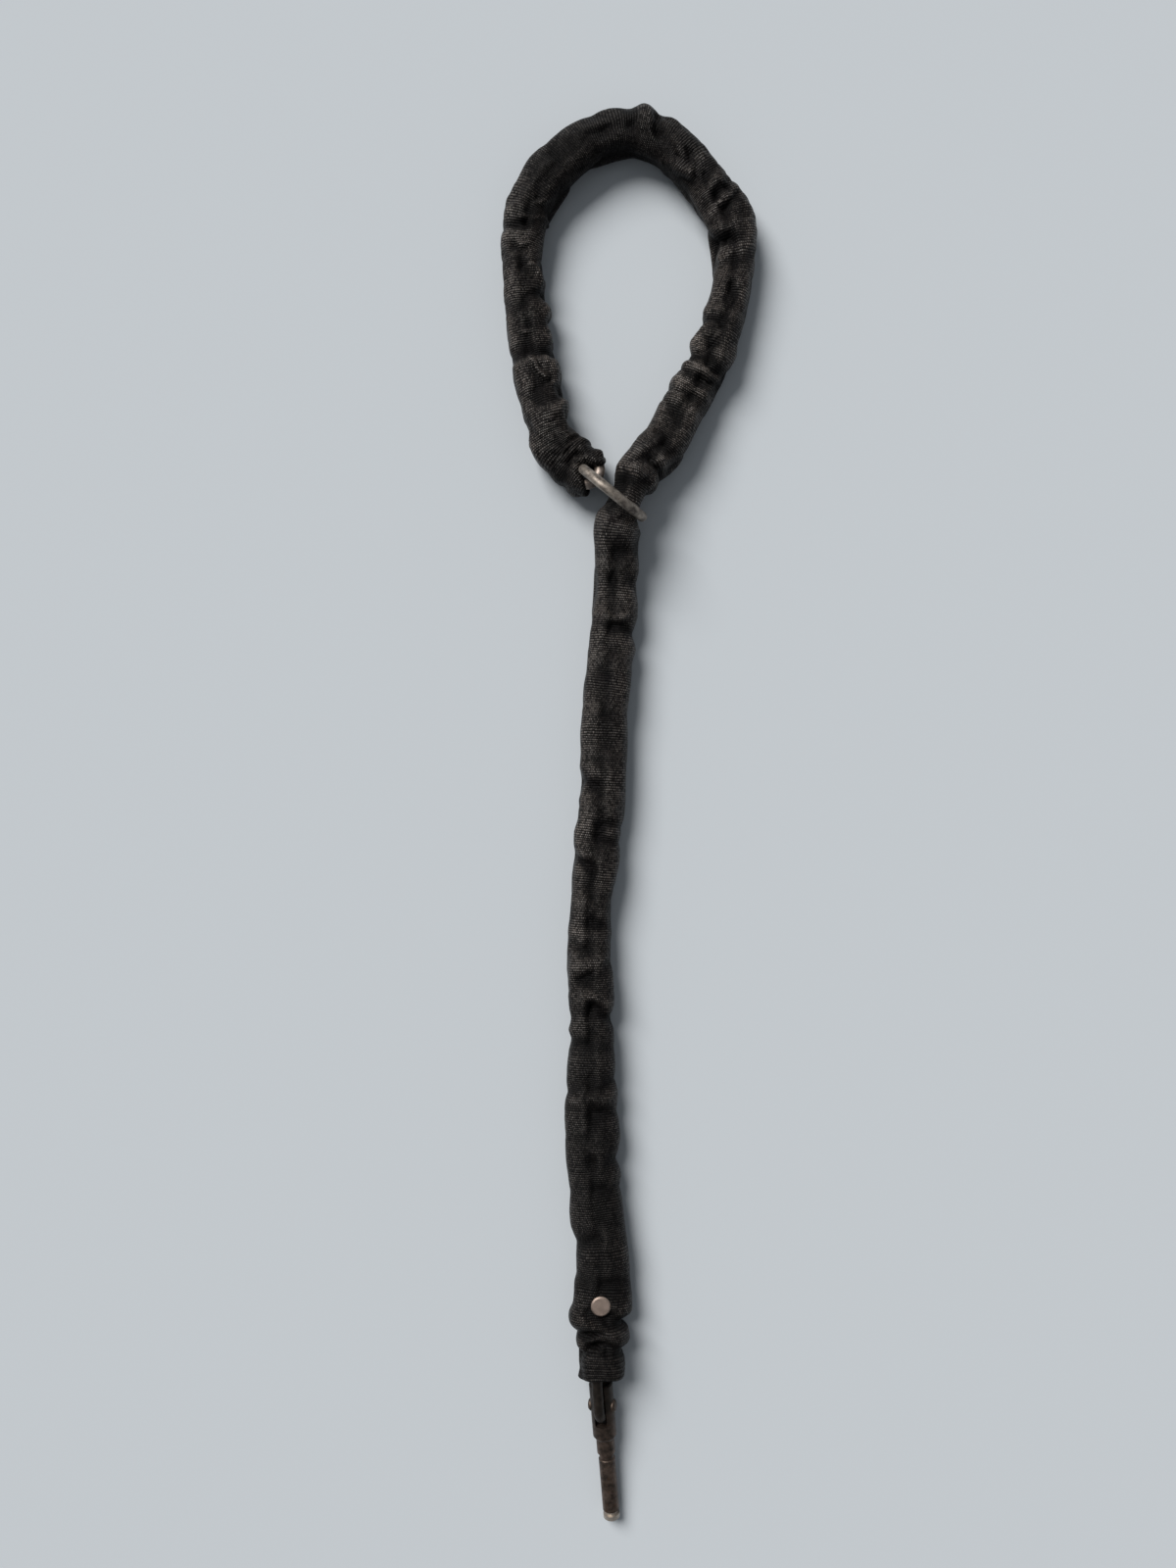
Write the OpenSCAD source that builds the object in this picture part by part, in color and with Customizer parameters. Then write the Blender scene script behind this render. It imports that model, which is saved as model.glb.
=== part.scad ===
// Sleeved plug-in chain for a frame lock: ring, hardened chain, woven sleeve, rivet and plug.
// Lengths in mm, angles in degrees. The chain lies on the floor, noose at +Y, plug at -Y.

/* [Chain] */
// thickness of the link wire
wire = 5.5; // [4:0.1:7]
// clear length inside one link
inner_length = 24.65; // [20:0.1:30]
// clear width inside one link
inner_width = 9; // [7:0.1:12]
// slack between the bars of two linked links
play = 0.4; // [0.2:0.05:1]

/* [Sleeve] */
// thickness of the woven wall
wall = 1; // [0.6:0.1:2]
// clearance between links and sleeve
room = 0.3; // [0.2:0.05:1]
// facets round the sleeve
sides = 12; // [12:4:24]
// length of the rolled hem at the mouth
mouth_length = 8; // [5:0.5:12]
// distance from the cuff's end to the clevis pin
cuff_back = 11.2; // [10:0.1:16]

/* [Ring] */
// outside diameter
ring_size = 43; // [34:0.5:60]
// thickness of the ring wire
ring_wire = 5.2; // [4:0.1:8]
// lean from upright
ring_lean = 11; // [0:1:20]
// heading of the ring's plane
ring_heading = -39; // [-60:1:-20]
// room from the middle of the passing sleeve to the ring's side
pass_side = 9.3; // [8:0.1:12]
// clearance between ring and sleeve
ring_room = 1.6; // [0.2:0.05:1.5]

/* [Rivet] */
// cap diameter
cap_size = 10; // [8:0.1:12]
// cap thickness
cap_height = 1.2; // [0.8:0.1:2]
// shank diameter
shank_size = 3.6; // [3:0.1:4.4]
// washer thickness
washer_height = 0.7; // [0.5:0.05:1]
// distance from the rivet to the clevis pin
rivet_back = 54.6; // [50:0.1:58]

/* [Plug] */
// fork diameter
fork_size = 12.2; // [10:0.1:15]
// slot between the cheeks
slot_width = 6.1; // [5.8:0.05:7]
// fork end behind the pin
fork_back = 12.5; // [10:0.1:14]
// shoulder of the fork ahead of the pin
fork_front = 15.9; // [12:0.1:20]
// length of the cone after the fork
cone_length = 2; // [1:0.1:4]
// collar diameter
collar_size = 9.4; // [8:0.1:11]
// collar length
collar_length = 7.6; // [4:0.1:10]
// first groove diameter
groove_size = 7.5; // [6:0.1:8]
// first groove length
groove_length = 3.3; // [2:0.1:5]
// shaft diameter
shaft_size = 8.5; // [7:0.1:10]
// shaft length up to the locking groove
shaft_length = 28.5; // [20:0.1:36]
// locking groove diameter
lock_size = 6.4; // [5:0.1:7.5]
// locking groove length
lock_length = 2.3; // [1.5:0.1:4]
// head length
head_length = 2.8; // [2:0.1:5]
// bevel at the head's end
head_bevel = 0.8; // [0.3:0.1:1.5]
// clevis pin diameter
pin_size = 5; // [4:0.1:6]
// clevis pin heads
pin_head = 6.5; // [5.5:0.1:8]
// how far the pin's heads stand proud
pin_proud = 1; // [0.4:0.1:1.5]
// depth of the flat under a pin head
pin_seat = 0.9; // [0.5:0.1:1.5]
// clearance in bores
fit = 0.05; // [0.03:0.01:0.2]

/* [Hidden] */
LINKS = 38;          // links from the ring to the plug
NOOSE = 20;          // links that lie in the noose, with the end link
r = wire/2;
half = (inner_width + wire)/2;      // wire centre to link centre
long = inner_length + wire;         // bar centre to bar centre
pitch = inner_length - play;
step = wire + play;                 // bar to bar of two links
rc = r + room + wall;
lay = half*cos(45) + rc + 0.25;     // height of a resting link's centre
tall = 2*(lay + 0.4);
shift = [0.2, 3.4, 0];              // middle of the outline to the origin

// headings of the links, from the ring round the noose
lead = [138,110,102,98,95,82,58,41,16,-22,-52,-62,-82,-102,-110,-118];
// headings below the ring: two links at the ring, then the straight part
cross_head = [-114,-87];
tail_head = [-93,-94,-97,-92,-91,-97,-95,-92,-89,-89,-90,-89,-88,-85,-85,-92,-90,-86];
// turn of each link about its own length; neighbours cross at about a right angle
turn_start = [90,-14,62,-41];
turn_cross = [45,-54,26,-51];
turn_end = [-44,60,-15];
roll = [for (i = [0:LINKS - 1])
    i < 4 ? turn_start[i] :
    i >= 16 && i < 20 ? turn_cross[i - 16] :
    i >= 35 ? turn_end[i - 35] :
    i % 2 == 0 ? 45 : -45];

// ring
R = (ring_size - ring_wire)/2;
pass_offset = R - ring_wire/2 - ring_room - pass_side;
ring_z = R*cos(ring_lean) + ring_wire/2;
start_z = 15.7;
start = [-16.9, 170.6];             // near bar of the end link
ru = [cos(ring_heading), sin(ring_heading), 0];
rn = [-sin(ring_heading), cos(ring_heading), 0];
rv = cos(ring_lean)*[0,0,1] - sin(ring_lean)*rn;
hook = R - (ring_wire/2 + play + r);
hook_a = asin((ring_z - start_z)/(hook*cos(ring_lean)));
ring_c = [start[0], start[1], start_z] + hook*(cos(hook_a)*ru + sin(hook_a)*rv);
low_x = pass_offset - half*sin(roll[18]);
pass_h = sqrt(pow(R - ring_wire/2 - ring_room - rc, 2) - low_x*low_x) - half*cos(roll[18]);
pass = ring_c + pass_offset*ru - pass_h*rv;
pass_k = 14.5;                      // from the bar play of link 18 to the ring plane
goal = pass - pass_k*[cos(cross_head[0]), sin(cross_head[0]), 0];

// heights of the places where two links meet
rise = [[0, start_z - 0.5], [1, 11.9], [2, 11.7], [3, lay + 0.6], [5, lay + 0.1], [6, lay + 0.3],
    [8, lay + 0.6], [9, lay + 1.7], [10, lay + 1.1], [11, lay + 0.5], [13, lay + 0.3], [15, lay],
    [16, lay + 0.3], [17, lay + 2.1], [18, pass[2]], [19, pass[2]], [20, lay + 1.6], [21, lay],
    [35, lay], [36, lay + 0.6], [37, 11.7], [38, 10.5]];

function dirv(h, e) = [cos(h)*cos(e), sin(h)*cos(e), sin(e)];
function leftv(h) = [-sin(h), cos(h), 0];
function unit(v) = v/norm(v);
function barv(h, e, t) = cos(t)*cross(dirv(h, e), leftv(h)) + sin(t)*leftv(h);
function climb(i, z) = asin((lookup(i + 1, rise) - z)/(long - step/2));

// one link is [near bar centre, direction, bar axis, heading]
function link_at(i, N, hs) = let(e = climb(i, N[2]))
    [N, dirv(hs[i], e), barv(hs[i], e, roll[i]), hs[i]];
function push(a, b) = let(n = unit(cross(a[2], b[2]))) n*(n*a[1] < 0 ? -1 : 1);
function far(a) = a[0] + long*a[1];
function next_link(i, a, hs) = let(b = link_at(i + 1, far(a), hs))
    link_at(i + 1, far(a) - step*push(a, b), hs);
function run(i, a, hs, last) = i == last ? [a] :
    concat([a], run(i + 1, next_link(i, a, hs), hs, last));
function lay_chain(hs, last) = run(0, link_at(0, [start[0], start[1], start_z], hs), hs, last);

// two links close the noose so that link 18 reaches the ring
function close_two(A, B, a, b) = let(d = norm(B - A), m = atan2(B[1] - A[1], B[0] - A[0]))
    [m + acos(min(1, (a*a + d*d - b*b)/(2*a*d))), m - acos(min(1, (b*b + d*d - a*a)/(2*b*d)))];
function flat(v) = [v[0], v[1]];
function headings(pair) = concat(lead, pair, cross_head, tail_head);
function meet(c, i) = (far(c[i - 1]) + c[i][0])/2;
function aim(g, k) = let(
        c = lay_chain(headings([-124, -131]), 16),
        A = flat(meet(c, 16)),
        pair = close_two(A, flat(g), pitch*0.996, pitch*0.965))
    k == 0 ? pair : let(
        got = meet(lay_chain(headings(pair), 18), 18))
    aim(g + (goal - got), k - 1);
heads = headings(aim(goal, 4));
chain = lay_chain(heads, LINKS - 1);

// sleeve: place on the chain x = link number + share of the pitch
edge = [for (i = [0:LINKS - 1]) i == 0 ? 0.36 + mouth_length/pitch : i == 35 ? 0.30 :
    i == 37 ? 1 - (cuff_back + 2.6)/pitch : 0.5];
function on_link(i, f) = chain[i][0] + (step/2 + f*pitch)*chain[i][1];
function curve(i, t) = let(
        a = edge[i], b = edge[i + 1], A = on_link(i, a), D = on_link(i + 1, b),
        B = A + 0.8*(1 - a)*pitch*chain[i][1], C = D - 0.8*b*pitch*chain[i + 1][1], s = 1 - t)
    [s*s*s*A + 3*s*s*t*B + 3*s*t*t*C + t*t*t*D,
     unit(s*s*(B - A) + 2*s*t*(C - B) + t*t*(D - C))];
function place(i, t) = (i + edge[i])*(1 - t) + (i + 1 + edge[i + 1])*t;

width = [[0.36, 28], [0.7, 27], [1, 25], [1.25, 22], [1.75, 22.6], [2, 22], [2.5, 22.6], [3, 21], [3.5, 22],
    [4, 21.6], [4.25, 20], [5, 20.4], [5.5, 23.6], [6, 26], [6.5, 26], [7, 27.4], [7.5, 27], [8.5, 27],
    [9, 29], [9.5, 27.6], [10, 26.6], [10.5, 25], [11, 27.4], [11.5, 28.8], [12, 28.4], [12.5, 23.6],
    [13, 21.6], [13.5, 21], [14, 21.4], [14.5, 23.4], [15, 22], [15.5, 26.6], [16, 27.4], [16.5, 26],
    [17, 25], [17.5, 26], [18.05, 24.4], [18.33, 14.6], [18.58, 12.6], [18.83, 14.8], [19.05, 23],
    [19.3, 23.6], [19.5, 21], [20, 21.4], [20.5, 20.8], [21, 23.4], [22, 23], [23, 24], [24, 23.4], [25, 23.6],
    [26, 23.6], [27, 20.4], [27.25, 20], [27.75, 22.4], [29, 23.2], [29.5, 22], [30.5, 24.4], [31, 26],
    [32.25, 28], [32.5, 26.6], [34, 26.6], [35, 28], [35.4, 29.6], [35.75, 29.2], [35.84, 26.6],
    [35.95, 30], [36.08, 31], [36.24, 27.4], [36.36, 25.6], [36.5, 28.4], [36.62, 26.8], [36.72, 23.2],
    [36.84, 22.6], [37.5, 21.6]];
height = [[0.36, 19.4], [0.7, 21.4], [1, 22.8], [1.5, 23], [2, 22.9], [2.5, 20.6], [3, tall],
    [7, tall], [8.4, 20.2], [9, 20.8], [10, 21.2], [11, 20.4], [12, tall + 0.3], [13, tall],
    [17, tall], [17.6, tall + 0.6], [18.05, 22.8], [18.33, 22.9], [18.58, 22.5], [18.83, 23.4], [19.05, 25],
    [19.3, 22], [19.6, tall + 0.4], [20.2, tall], [34.8, tall], [35.9, tall], [36.2, 20], [36.6, 21.6], [36.8, 22.6],
    [37.5, 22.4]];
slant = [[17.3, 0], [17.7, 8], [18.05, 0], [18.33, -24], [18.58, -26], [18.83, -22], [19.05, 0], [19.3, 12],
    [19.6, 8], [20, 0]];
square = [[0.36, 2.6], [1, 2.8], [1.5, 3.2], [2, 3.4], [3, 3.8], [5, 3.8], [8, 3.4], [11, 3.2], [13, 3.8],
    [15, 3.8], [17.5, 3.6], [18.05, 3], [18.33, 2.3], [18.83, 2.3], [19.05, 2.8], [19.5, 3.8], [21, 3.2],
    [27, 3.8], [30, 3.2], [31, 2.7], [35, 2.7], [36, 2.8], [37, 3.4]];
sway = [[5.5, 0], [6.2, 1.4], [7, 2.2], [8, 1.9], [9, 2.4], [9.5, 0], [10, -1.4], [10.6, -1], [11.25, 0],
    [11.6, 1], [12.1, 1], [12.5, 0.4], [13, 0], [35.6, 0], [35.75, 0.6], [35.84, 0], [35.98, -1.5],
    [36.1, -1.2], [36.3, 0.6], [36.5, 1.7], [36.64, 1.2], [36.76, 0.2], [37, 0]];
drop = [[0.36, -4.2], [0.7, -2.6], [1, -1], [1.3, 0], [17.6, 0], [18.05, 0.2], [18.38, 0], [18.68, 0],
    [18.9, 0.1], [19.05, 0.6], [19.4, 0.4], [19.7, 0]];

function bump(v, n) = sign(v)*pow(abs(v), 2/n);
function hoop(c, d, x, thin, low) = let(
        l = unit([-d[1], d[0], 0]), u = cross(d, l), s = lookup(x, slant), n = lookup(x, square),
        a = lookup(x, width)/2 - thin, b = lookup(x, height)/2 - thin,
        dx = cos(s)*l + sin(s)*u, dy = cos(s)*u - sin(s)*l,
        m = c + [0, 0, lookup(x, drop)] + lookup(x, sway)*l)
    [for (q = [0:sides - 1]) let(t = 360*q/sides, p = m + a*bump(cos(t), n)*dx + b*bump(sin(t), n)*dy)
        [p[0], p[1], max(p[2], low)]];

// tube between rows of points, each row [outer hoop, inner hoop]
module tube(rows) {
    n = len(rows);
    m = sides;
    points = [for (k = [0:n - 1]) for (h = rows[k]) for (p = h) p];
    function at(k, h, q) = k*2*m + h*m + q % m;
    faces = concat(
        [for (k = [0:n - 2]) for (q = [0:m - 1]) each
            [[at(k,0,q), at(k+1,0,q), at(k+1,0,q+1)], [at(k,0,q), at(k+1,0,q+1), at(k,0,q+1)]]],
        [for (k = [0:n - 2]) for (q = [0:m - 1]) each
            [[at(k,1,q), at(k+1,1,q+1), at(k+1,1,q)], [at(k,1,q), at(k,1,q+1), at(k+1,1,q+1)]]],
        [for (q = [0:m - 1]) each
            [[at(0,0,q), at(0,0,q+1), at(0,1,q+1)], [at(0,0,q), at(0,1,q+1), at(0,1,q)]]],
        [for (q = [0:m - 1]) each
            [[at(n-1,0,q), at(n-1,1,q+1), at(n-1,0,q+1)], [at(n-1,0,q), at(n-1,1,q), at(n-1,1,q+1)]]]);
    polyhedron(points, faces, 4);
}

function row(i, t) = let(c = curve(i, t), x = place(i, t))
    [hoop(c[0], c[1], x, 0, 0), hoop(c[0], c[1], x, wall, wall)];

module sleeve_piece(i, cuts) tube([for (t = cuts) row(i, t)]);
module plain_piece(i) sleeve_piece(i, [0, 0.25, 0.5, 0.75, 1]);

// turns a shape built along +X with its bar along +Z onto a link
module ride(a, at = 0) {
    y = cross(a[2], a[1]);
    p = a[0] + at*a[1];
    multmatrix([[a[1][0], y[0], a[2][0], p[0]], [a[1][1], y[1], a[2][1], p[1]],
        [a[1][2], y[2], a[2][2], p[2]], [0, 0, 0, 1]]) children();
}

module link(a) {
    straight = long - 2*half;
    ride(a) {
        for (s = [0, 1])
            translate([s == 0 ? half : long - half, 0, 0])
                rotate([90, 0, 0]) rotate(s == 0 ? 90 : -90)
                    rotate_extrude(angle = 180, $fn = 48) translate([half, 0]) circle(r, $fn = 32);
        for (s = [-1, 1])
            translate([half, 0, s*half]) rotate([0, 90, 0]) cylinder(h = straight, r = r, $fn = 32);
    }
}

module steel() color([0.42, 0.40, 0.38]) children();
module cloth() color([0.10, 0.10, 0.11]) children();

module ring() {
    color([0.56, 0.52, 0.46])
        multmatrix([[ru[0], rv[0], rn[0], ring_c[0] + shift[0]], [ru[1], rv[1], rn[1], ring_c[1] + shift[1]],
            [ru[2], rv[2], rn[2], ring_c[2]], [0, 0, 0, 1]])
            rotate_extrude($fn = 72) translate([R, 0]) circle(ring_wire/2, $fn = 40);
}

module end_link() steel() translate(shift) link(chain[0]);

module noose_chain() steel() translate(shift) for (i = [1:NOOSE - 1]) link(chain[i]);

module sleeve_loop() cloth() translate(shift)
    tube([for (i = [0:NOOSE - 2]) for (t = [0:3 + floor(i/(NOOSE - 2))]) row(i, t/4)]);

module sleeve_mouth() {
    // thick gathered hem, a little wider than the sleeve behind it
    x0 = 0.36;
    x1 = edge[0];
    rows = [for (k = [0:4]) let(x = x0 + (x1 - x0)*k/4, c = on_link(0, x), d = chain[0][1],
            roll_up = [0, 0.9, 1, 0.7, 0][k])
        [hoop(c, d, x, -roll_up, 0), hoop(c, d, x, wall + 0.6*roll_up, wall)]];
    color([0.14, 0.13, 0.13]) translate(shift) tube(rows);
}

// straight part: one link and one length of sleeve on each moving body
module tail_link(k) steel() translate(shift) link(chain[NOOSE - 1 + k]);
module tail_sleeve(k) cloth() translate(shift) plain_piece(NOOSE - 2 + k);

// clevis pin, plug and rivet places
last = chain[LINKS - 1];
pin_at = long - r - 0.3 - pin_size/2;
pin_c = last[0] + pin_at*last[1];
pin_axis = unit(cross(last[2], last[1]));
fork_end = fork_front + cone_length;
collar_end = fork_end + collar_length;
groove_end = collar_end + groove_length;
shaft_end = groove_end + shaft_length;
lock_end = shaft_end + lock_length;
tip = lock_end + head_length;
fall = asin((pin_c[2] - shaft_size/2)/tip);
turn_down = (fall + asin(last[1][2]))/last[2][2];
plug_dir = cos(turn_down)*last[1] + sin(turn_down)*cross(pin_axis, last[1]);
plug_up = cross(plug_dir, pin_axis);
slot_deep = long - pin_at + r + 0.9;
rivet_x = LINKS - (rivet_back + 2.6)/pitch;
rivet_c = on_link(35, rivet_x - 35);
cap_z = rivet_c[2] + lookup(rivet_x, height)/2 - 0.35;

// holes and seats of the rivet in the sleeve
module rivet_seat() translate([rivet_c[0], rivet_c[1], 0]) {
    translate([0, 0, -1]) cylinder(h = 40, r = shank_size/2 + 0.2, $fn = 24);
    translate([0, 0, cap_z]) cylinder(h = 9, r = cap_size/2 + 0.15, $fn = 32);
    translate([0, 0, -9]) cylinder(h = 9 + washer_height + 0.05, r = cap_size/2 + 0.15, $fn = 32);
}

module sleeve_17() cloth() translate(shift) difference() {
    sleeve_piece(NOOSE - 2 + 17, [0, 0.2, 0.4, 0.55, 0.65, 0.77, 0.87, 1]);
    rivet_seat();
}

module sleeve_cuff() cloth() translate(shift)
    sleeve_piece(LINKS - 2, [0, 0.14, 0.24, 0.34, 0.46, 0.58, 0.68, 0.77, 0.87, 1]);

module rivet_cap() color([0.70, 0.60, 0.55])
    translate([rivet_c[0] + shift[0], rivet_c[1] + shift[1], 0]) {
        h = cap_height;
        s = cap_size/2;
        translate([0, 0, cap_z]) rotate_extrude($fn = 48)
            polygon([[0, 0], [s, 0], [s, 0.4*h], [s - 0.6*h, h], [0, h]]);
        translate([0, 0, 0.15]) cylinder(h = cap_z - 0.15, r = shank_size/2, $fn = 32);
    }

module rivet_washer() color([0.55, 0.50, 0.46])
    translate([rivet_c[0] + shift[0], rivet_c[1] + shift[1], 0]) difference() {
        cylinder(h = washer_height, r = cap_size/2, $fn = 48);
        translate([0, 0, -1]) cylinder(h = 3, r = shank_size/2 + 0.1, $fn = 32);
    }

// turns a shape built along +X, with the pin along +Y, onto the plug
module on_plug() {
    d = plug_dir;
    s = pin_axis;
    u = plug_up;
    multmatrix([[d[0], s[0], u[0], pin_c[0] + shift[0]], [d[1], s[1], u[1], pin_c[1] + shift[1]],
        [d[2], s[2], u[2], pin_c[2]], [0, 0, 0, 1]]) children();
}

module plug() {
    f = fork_size/2;
    s = shaft_size/2;
    profile = [[-fork_back, 0], [-fork_back, f - 0.8], [0.8 - fork_back, f], [fork_front, f],
        [fork_end, collar_size/2], [collar_end, collar_size/2], [collar_end, groove_size/2],
        [groove_end, groove_size/2], [groove_end, s - 0.4], [groove_end + 0.4, s], [shaft_end, s],
        [shaft_end, lock_size/2], [lock_end, lock_size/2], [lock_end, s], [tip - head_bevel, s],
        [tip, s - head_bevel], [tip, 0]];
    color([0.38, 0.24, 0.16]) on_plug() difference() {
        rotate([0, 90, 0]) rotate([0, 0, 90]) rotate_extrude($fn = 64)
            polygon([for (p = profile) [p[1], p[0]]]);
        translate([-fork_back - 1, -slot_width/2, -fork_size])
            cube([fork_back + 1 + slot_deep, slot_width, 2*fork_size]);
        rotate([90, 0, 0]) cylinder(h = 2*fork_size, r = pin_size/2 + fit, center = true, $fn = 40);
        for (k = [0, 180]) rotate([0, 0, k]) translate([0, f - pin_seat, 0])
            rotate([-90, 0, 0]) cylinder(h = 4, r = pin_head/2 + fit, $fn = 40);
    }
}

module clevis_pin() color([0.45, 0.36, 0.28]) on_plug() {
    f = fork_size/2;
    h = pin_seat + pin_proud - 0.05;
    rotate([90, 0, 0]) cylinder(h = 2*(f - pin_seat + 0.05), r = pin_size/2, center = true, $fn = 40);
    for (k = [0, 180]) rotate([0, 0, k]) translate([0, f - pin_seat + 0.05, 0]) rotate([-90, 0, 0])
        rotate_extrude($fn = 40) polygon([[0, 0], [pin_head/2, 0], [pin_head/2, h - 0.9],
            [pin_head/2 - 0.9, h], [0, h]]);
}

function num(k) = str(k < 10 ? "0" : "", k);

ring();
end_link();
noose_chain();
sleeve_mouth();
sleeve_loop();
for (k = [1:18])
    tail_link(k);
for (k = [1:16])
    tail_sleeve(k);
sleeve_17();
sleeve_cuff();
rivet_cap();
rivet_washer();
plug();
clevis_pin();
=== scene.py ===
import math

import bpy
import numpy as np
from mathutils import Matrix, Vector, noise


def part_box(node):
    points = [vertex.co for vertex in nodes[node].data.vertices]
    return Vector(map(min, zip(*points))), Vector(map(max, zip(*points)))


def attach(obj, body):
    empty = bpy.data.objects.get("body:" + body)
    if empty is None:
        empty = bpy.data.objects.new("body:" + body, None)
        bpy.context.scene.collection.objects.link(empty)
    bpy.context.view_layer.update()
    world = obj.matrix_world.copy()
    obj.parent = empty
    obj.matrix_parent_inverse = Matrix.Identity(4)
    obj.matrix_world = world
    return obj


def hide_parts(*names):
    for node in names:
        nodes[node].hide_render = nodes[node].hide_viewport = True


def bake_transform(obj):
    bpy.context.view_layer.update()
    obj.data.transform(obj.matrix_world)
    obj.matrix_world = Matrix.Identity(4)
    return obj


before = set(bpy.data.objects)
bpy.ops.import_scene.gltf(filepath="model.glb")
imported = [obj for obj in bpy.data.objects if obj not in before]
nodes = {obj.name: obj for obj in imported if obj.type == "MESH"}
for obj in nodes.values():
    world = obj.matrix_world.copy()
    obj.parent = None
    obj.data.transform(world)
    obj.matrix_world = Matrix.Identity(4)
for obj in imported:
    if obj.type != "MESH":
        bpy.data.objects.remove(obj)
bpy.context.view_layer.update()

# The lock lies stretched out on a workbench with the noose at the far end. It is looked at from
# straight above, from about arm's length.
scene = bpy.context.scene
scene.view_settings.view_transform = "Standard"
eye = bpy.data.cameras.new("eye")
eye.sensor_fit = "VERTICAL"
eye.sensor_height = 36
eye.lens = 28.4
camera = bpy.data.objects.new("eye", eye)
camera.location = (-0.0208, 0.0178, 0.650)
scene.collection.objects.link(camera)
scene.camera = camera


# The bench top is a plain pale sheet, wide enough for every other side of the lock. It lies a
# tenth of a millimetre low, so that it shares no face with the pieces that rest on it.
bench_mesh = bpy.data.meshes.new("bench")
bench_half = 40.0
bench_top = -0.0001
bench_corners = ((-1, -1), (1, -1), (1, 1), (-1, 1))
bench_mesh.from_pydata(
    [(x * bench_half, y * bench_half, bench_top) for x, y in bench_corners],
    [],
    [(0, 1, 2, 3)],
)
bench = bpy.data.objects.new("bench", bench_mesh)
scene.collection.objects.link(bench)
bench_paint = bpy.data.materials.new("bench_paint")
bench_paint.use_nodes = True
bench_coat = bench_paint.node_tree.nodes["Principled BSDF"]
bench_coat.inputs["Base Color"].default_value = (0.56, 0.60, 0.64, 1)
bench_coat.inputs["Roughness"].default_value = 0.9
bench_coat.inputs["Specular IOR Level"].default_value = 0.1
bench_mesh.materials.append(bench_paint)


# Soft light comes from high on the far left, as wide and even as an overcast window wall, with
# daylight from all round.
sky = bpy.data.worlds.new("sky")
sky.use_nodes = True
sky.node_tree.nodes["Background"].inputs["Color"].default_value = (0.92, 0.96, 1.0, 1)
sky.node_tree.nodes["Background"].inputs["Strength"].default_value = 0.20
scene.world = sky
window = bpy.data.lights.new("window", "SUN")
window.angle = math.radians(34)
window.energy = 3.7
window.color = (1.0, 0.98, 0.95)
window_lamp = bpy.data.objects.new("window", window)
window_lamp.location = (-0.85, 1.10, 1.25)
window_lamp.rotation_euler = (-window_lamp.location).to_track_quat("-Z", "Y").to_euler()
scene.collection.objects.link(window_lamp)


# The hardened chain: 38 long links of 5.5 mm wire, bent and butt-welded, then tumbled bright. The
# first one shows inside the ring, and the last one in the plug's fork.
def steel_finish(name, light, dark, rust, rust_share, rough):
    """Worn steel: light where it rubs, dark in between, with spots of rust."""
    finish = bpy.data.materials.new(name)
    finish.use_nodes = True
    tree = finish.node_tree
    shader = tree.nodes["Principled BSDF"]
    shader.inputs["Metallic"].default_value = 0.85
    place = tree.nodes.new("ShaderNodeTexCoord").outputs["Object"]

    def cloudy(scale, detail):
        cloud = tree.nodes.new("ShaderNodeTexNoise")
        cloud.inputs["Scale"].default_value = scale
        cloud.inputs["Detail"].default_value = detail
        cloud.inputs["Roughness"].default_value = 0.65
        tree.links.new(place, cloud.inputs["Vector"])
        return cloud.outputs["Fac"]

    def ramp(value, stops):
        curve = tree.nodes.new("ShaderNodeValToRGB")
        curve.color_ramp.elements[0].position = stops[0][0]
        curve.color_ramp.elements[0].color = (*stops[0][1], 1)
        curve.color_ramp.elements[1].position = stops[1][0]
        curve.color_ramp.elements[1].color = (*stops[1][1], 1)
        tree.links.new(value, curve.inputs["Fac"])
        return curve.outputs["Color"]

    worn = ramp(cloudy(scale=260, detail=6), ((0.36, dark), (0.62, light)))
    rust_stops = ((0.66 - rust_share, (0, 0, 0)), (0.76 - rust_share, (1, 1, 1)))
    spots = ramp(cloudy(scale=420, detail=8), rust_stops)

    # a colour mix has its share in socket 0, its colours in 6 and 7, and its result in output 2
    paint = tree.nodes.new("ShaderNodeMix")
    paint.name = "worn paint"
    paint.data_type = "RGBA"
    tree.links.new(spots, paint.inputs[0])
    tree.links.new(worn, paint.inputs[6])
    paint.inputs[7].default_value = (*rust, 1)
    tree.links.new(paint.outputs[2], shader.inputs["Base Color"])
    gloss = tree.nodes.new("ShaderNodeMapRange")
    gloss.inputs["To Min"].default_value = rough - 0.12
    gloss.inputs["To Max"].default_value = rough + 0.22
    tree.links.new(cloudy(scale=700, detail=4), gloss.inputs["Value"])
    tree.links.new(gloss.outputs["Result"], shader.inputs["Roughness"])
    pits = tree.nodes.new("ShaderNodeBump")
    pits.inputs["Strength"].default_value = 0.35
    pits.inputs["Distance"].default_value = 0.0002
    tree.links.new(cloudy(scale=1500, detail=5), pits.inputs["Height"])
    tree.links.new(pits.outputs["Normal"], shader.inputs["Normal"])
    return finish


def dress(node, finish):
    """A CAD piece that already has its true shape only gets its finish."""
    nodes[node].data.materials.clear()
    nodes[node].data.materials.append(finish)


link_steel = steel_finish(
    "link_steel",
    light=(0.40, 0.34, 0.30),
    dark=(0.13, 0.105, 0.09),
    rust=(0.10, 0.055, 0.03),
    rust_share=0.04,
    rough=0.46,
)
for link_node in ["end_link", "noose_chain"] + [f"tail_link_{k:02d}" for k in range(1, 18)]:
    dress(link_node, link_steel)

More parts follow.
